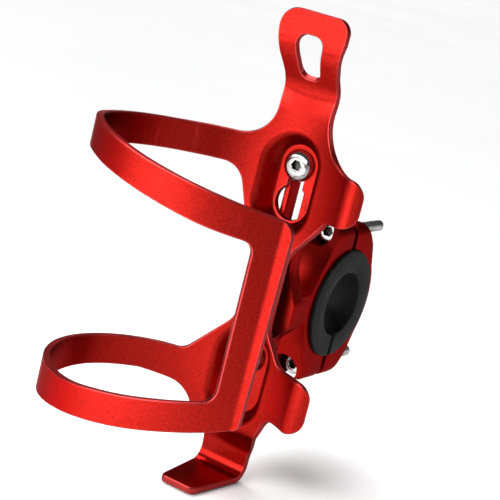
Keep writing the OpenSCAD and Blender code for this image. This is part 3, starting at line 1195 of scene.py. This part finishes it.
@dataclass
class Fastener:
    """What every screw and bolt shares: its thread, socket and place."""

    node: str
    name: str
    body: str
    slot: str
    finish: Steel
    head_radius: float
    head_height: float
    thread_radius: float
    pitch: float
    socket_flats: float = 3.0
    socket_depth: float = 2.2
    socket_reach: float = 0.6
    socket_lip: float = 0.25
    socket_tip: float = 0.5
    thread_depth: float = 0.58
    shank_gap: float = 0.6

    def socket(self, part: TurnedPart, face: float, rim: float) -> None:
        """Adds the rings of a hexagon socket, from its floor out to the rim.

        Args:
            part: The part that the rings go to.
            face: Y of the head's front face.
            rim: Radius of the socket's countersunk rim.
        """
        half = self.socket_flats / 2
        floor = face + self.socket_depth
        part.ring(floor + self.socket_tip, 0.05)
        part.ring(floor, half * 0.93)
        part.ring(floor - 0.06, half, Outline.HEXAGON)
        part.ring(face + 0.32, half, Outline.HEXAGON)
        part.ring(face + 0.12, half + 0.05, Outline.HEXAGON)
        part.ring(face, rim)

    def thread(self, part: TurnedPart, start: float, end: float) -> None:
        """Adds the rings of the thread and the chamfered tip.

        Args:
            part: The part that the rings go to.
            start: Y where the thread starts.
            end: Y of the tip.
        """
        crest = self.thread_radius - 0.02
        root = crest - self.thread_depth * self.pitch
        part.ring(start, root)
        for y in np.arange(start + self.pitch / 8, end - 0.05, self.pitch / 8):
            run_out = min(1.0, (y - start) / self.pitch)
            tip = root + (end - y) * 0.8
            part.thread_ring(y, root + (crest - root) * run_out, root, self.pitch, min(crest, tip))
        part.ring(end, root - 0.1)
        part.ring(end, root * 0.5)

    def head(self, part: TurnedPart, face: float, seat: float) -> None:
        """Adds the rings of the head's outside, from the socket's rim to the seat."""
        raise NotImplementedError

    def dress(self, piece: bpy.types.Object, part: TurnedPart, face: float) -> None:
        """Gives the fastener its finish and the inside of its socket a darker one, painted shade for the
        deep hexagon.

        Args:
            piece: The fastener.
            part: The rings it was made from.
            face: Y of the head's front face.
        """
        piece.data.materials.append(self.finish.material())
        piece.data.materials.append(SOCKET_SHADE.material())
        # Faces deep in the hexagon socket take the dark steel, painted shade.
        reach = self.socket_flats * self.socket_reach
        for polygon in piece.data.polygons:
            x, y, z = polygon.center / MM
            deep = face + self.socket_lip < y < face + self.socket_depth + self.socket_tip + 0.1
            if deep and math.hypot(x - part.axis_x, z - part.axis_z) < reach:
                polygon.material_index = 1

    def place(self) -> bpy.types.Object:
        """Builds and dresses the fastener and puts it on its body."""
        low, high = lowest(self.node), highest(self.node)
        part = TurnedPart(self.name, (low.x + high.x) / 2, (low.z + high.z) / 2)
        seat = low.y + self.head_height
        self.head(part, low.y, seat)
        self.thread(part, seat + self.shank_gap, high.y)
        piece = part.mesh()
        self.dress(piece, part, low.y)
        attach(piece, self.body)
        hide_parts(self.node)
        return piece


@dataclass
class CapScrew(Fastener):
    """Clamp screw with a cylindrical socket head."""

    edge_round: float = 0.4
    socket_rim: float = 0.55

    def head(self, part: TurnedPart, face: float, seat: float) -> None:
        """Adds the cylindrical head with rounded edges."""
        self.socket(part, face, self.socket_flats / 2 + self.socket_rim)
        r, soft = self.head_radius, self.edge_round
        for turn in np.linspace(0, math.pi / 2, 5)[::-1]:
            part.ring(face + soft * (1 - math.sin(turn)), r - soft * (1 - math.cos(turn)))
        part.ring(seat - 0.15, r)
        part.ring(seat, r - 0.12)
        part.ring(seat, self.thread_radius)


@dataclass
class ButtonBolt(Fastener):
    """Cage bolt with a low domed socket head."""

    rim_height: float = 0.55
    socket_rim: float = 0.75

    def head(self, part: TurnedPart, face: float, seat: float) -> None:
        """Adds the dome and its thin cylindrical rim."""
        top = self.socket_flats / 2 + self.socket_rim
        self.socket(part, face, top)
        r, rise = self.head_radius, self.head_height - self.rim_height
        for t in np.linspace(0.12, 1.0, 9):
            angle = t * math.pi / 2
            part.ring(face + rise * (1 - math.cos(angle)), top + (r - top) * math.sin(angle))
        part.ring(seat - 0.12, r)
        part.ring(seat, r - 0.12)
        part.ring(seat, self.thread_radius)


@dataclass
class SlotNut:
    """Hexagon nut behind the bracket's slot."""

    node: str = "slot_nut"
    half_flats: float = 4.0
    thread_radius: float = 2.5
    pitch: float = 0.8

    def place(self) -> bpy.types.Object:
        """Builds and dresses the nut and puts it on its body."""
        low, high = lowest(self.node), highest(self.node)
        part = TurnedPart("slot_nut_hex", (low.x + high.x) / 2, (low.z + high.z) / 2, sides=72)
        bore = self.thread_radius + 0.02
        full = self.half_flats / math.cos(math.pi / 6)
        for y, inward in ((low.y, 1), (high.y, -1)):
            rows = [(0.0, self.half_flats - 0.1), (0.12, self.half_flats + 0.08),
                    (0.34, full - 0.15), (0.55, full)]
            steps = rows if inward == 1 else rows[::-1]
            for rise, clip in steps:
                part.ring(y + inward * rise, self.half_flats, Outline.HEXAGON, clip)
        part.ring(high.y, bore + 0.35)
        for y in np.arange(high.y - 0.35, low.y + 0.3, -self.pitch / 8):
            part.thread_ring(y, bore + 0.32, bore, self.pitch, bore + 0.32)
        part.ring(low.y, bore + 0.35)
        piece = part.mesh(closed=True)
        piece.data.materials.append(PLATED.material())
        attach(piece, "bracket")
        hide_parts(self.node)
        return piece


# ---------------------------------------------------------------- studio


@dataclass(frozen=True)
class SoftBox:
    """One soft light, in metres."""

    name: str
    place: tuple[float, float, float]
    size: tuple[float, float]
    power: float
    target: tuple[float, float, float]

    def build(self) -> None:
        """Hangs the light and turns it to its target."""
        light = bpy.data.lights.new(self.name, "AREA")
        light.shape = "RECTANGLE"
        light.size, light.size_y = self.size
        light.energy = self.power
        lamp = bpy.data.objects.new(self.name, light)
        lamp.location = Vector(self.place)
        lamp.rotation_euler = (Vector(self.target) - lamp.location).to_track_quat("-Z", "Y").to_euler()
        bpy.context.scene.collection.objects.link(lamp)


@dataclass(frozen=True)
class Skylight:
    """One wide, even light from far away."""

    name: str
    comes_from: tuple[float, float, float]
    width: float
    strength: float

    def build(self) -> None:
        """Adds the light."""
        light = bpy.data.lights.new(self.name, "SUN")
        light.angle = math.radians(self.width)
        light.energy = self.strength
        lamp = bpy.data.objects.new(self.name, light)
        lamp.rotation_euler = Vector(self.comes_from).to_track_quat("Z", "Y").to_euler()
        bpy.context.scene.collection.objects.link(lamp)


@dataclass
class Studio:
    """Pale floor, soft lights and the camera."""

    azimuth: float = 28.85
    elevation: float = 12.78
    roll: float = 14.16
    camera_place: tuple[float, float, float] = (215.75, -448.90, 122.32)
    lens: float = 108.0
    floor_side: float = 16.0
    floor_gap: float = 0.0004
    floor_tones: tuple[float, float] = (0.86, 0.9)
    world_grey: float = 0.15
    horizon_grey: float = 0.9
    horizon_band: tuple[float, float] = (0.02, 0.16)
    sky: Skylight = Skylight("even_top", (-0.35, 0.3, 0.9), 40.0, 3.3)
    boxes: tuple[SoftBox, ...] = (
        SoftBox("front_low", (-0.10, -0.44, 0.11), (0.34, 0.46), 4.5, (-0.10, -0.43, -0.06)),
        SoftBox("front_left", (-0.50, -0.95, 0.12), (0.8, 0.4), 4.0, (0.0, 0.0, 0.0)),
        SoftBox("right_rim", (0.9, 0.35, 0.5), (0.3, 0.7), 1.5, (0.0, 0.0, 0.0)),
    )

    def camera(self) -> None:
        """Sets the camera to its place, angle and lens."""
        a, e = math.radians(self.azimuth), math.radians(self.elevation)
        back = Vector((math.sin(a) * math.cos(e), -math.cos(a) * math.cos(e), math.sin(e)))
        level = Vector((math.cos(a), math.sin(a), 0))
        right = Matrix.Rotation(-math.radians(self.roll), 3, -back) @ level
        up = back.cross(right)
        turn = Matrix((right, up, back)).transposed().to_4x4()
        lens = bpy.data.cameras.new("camera")
        lens.lens = self.lens
        lens.sensor_width = 36.0
        lens.clip_start, lens.clip_end = 0.01, 50.0
        camera = bpy.data.objects.new("camera", lens)
        camera.matrix_world = Matrix.Translation(Vector(self.camera_place) * MM) @ turn
        bpy.context.scene.collection.objects.link(camera)
        bpy.context.scene.camera = camera

    def floor(self, height: float) -> None:
        """Lays a pale floor at a height in metres."""
        half = self.floor_side / 2
        mesh = bpy.data.meshes.new("floor")
        corners = ((-half, -half), (half, -half), (half, half), (-half, half))
        mesh.from_pydata([(x, y, height) for x, y in corners], [], [(0, 1, 2, 3)])
        graph = Graph("pale_floor")
        grain = graph.group(BlastGrain.get(), Grain_Scale=400.0, Cloud_Scale=3.0)
        tones = [(at, (tone, tone, tone)) for at, tone in zip((0.3, 0.7), self.floor_tones)]
        graph.feed("Base Color", graph.colours(grain.outputs["Cloud"], tones))
        graph.fixed(Roughness=0.75, Specular_IOR_Level=0.2)
        mesh.materials.append(graph.material)
        make_object("floor", mesh)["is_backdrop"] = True

    def world(self) -> None:
        """Fills the surroundings with soft grey light that is pale at the horizon."""
        world = bpy.data.worlds.new("soft_grey")
        world.use_nodes = True
        nodes, links = world.node_tree.nodes, world.node_tree.links
        height = nodes.new("ShaderNodeSeparateXYZ")
        fade = nodes.new("ShaderNodeMapRange")
        fade.inputs["From Min"].default_value = self.horizon_band[0]
        fade.inputs["From Max"].default_value = self.horizon_band[1]
        fade.inputs["To Min"].default_value = self.horizon_grey
        fade.inputs["To Max"].default_value = self.world_grey
        links.new(nodes.new("ShaderNodeTexCoord").outputs["Generated"], height.inputs[0])
        links.new(height.outputs["Z"], fade.inputs["Value"])
        links.new(fade.outputs[0], nodes["Background"].inputs["Color"])
        bpy.context.scene.world = world

    def build(self) -> None:
        """Sets up the whole studio around the object, with colours kept as they are."""
        self.camera()
        self.world()
        self.floor(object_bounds()[0][2] - self.floor_gap)
        self.sky.build()
        for box in self.boxes:
            box.build()
        bpy.context.scene.view_settings.view_transform = "Standard"


def main() -> None:
    """Builds every piece in order and reports each one."""
    logging.basicConfig(level=logging.INFO, format="%(name)s: %(message)s")
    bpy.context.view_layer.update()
    clamp_red = RedAnodise(name="clamp_red_anodise")
    screw = dict(slot="screw_steel", finish=PLATED, head_radius=3.5, head_height=4.0,
                 thread_radius=2.0, pitch=0.7)
    bolt = dict(slot="bolt_steel", finish=POLISHED, head_radius=5.2, head_height=2.75, thread_radius=2.5,
                pitch=0.8, socket_depth=2.3)
    parts = [
        BottleCage(),
        MachinedPart("clamp_body", "bracket_body", "bracket", "clamp_anodise", clamp_red),
        MachinedPart("clamp_cap", "bracket_cap", "cap", "clamp_anodise", clamp_red),
        MachinedPart("rubber_sleeve", "bar_sleeve", "bracket", "sleeve_rubber", Rubber(), edge=0.5),
        CapScrew("clamp_screw_upper", "upper_clamp_screw", "upper_screw", **screw),
        CapScrew("clamp_screw_lower", "lower_clamp_screw", "lower_screw", **screw),
        ButtonBolt("cage_bolt_upper", "upper_cage_bolt", "upper_bolt", **bolt),
        ButtonBolt("cage_bolt_lower", "lower_cage_bolt", "lower_bolt", **bolt),
        SlotNut(),
    ]
    for part in parts:
        piece = part.place()
        log.info("%s: %d faces", piece.name, len(piece.data.polygons))
    Studio().build()


if __name__ == "__main__":
    main()
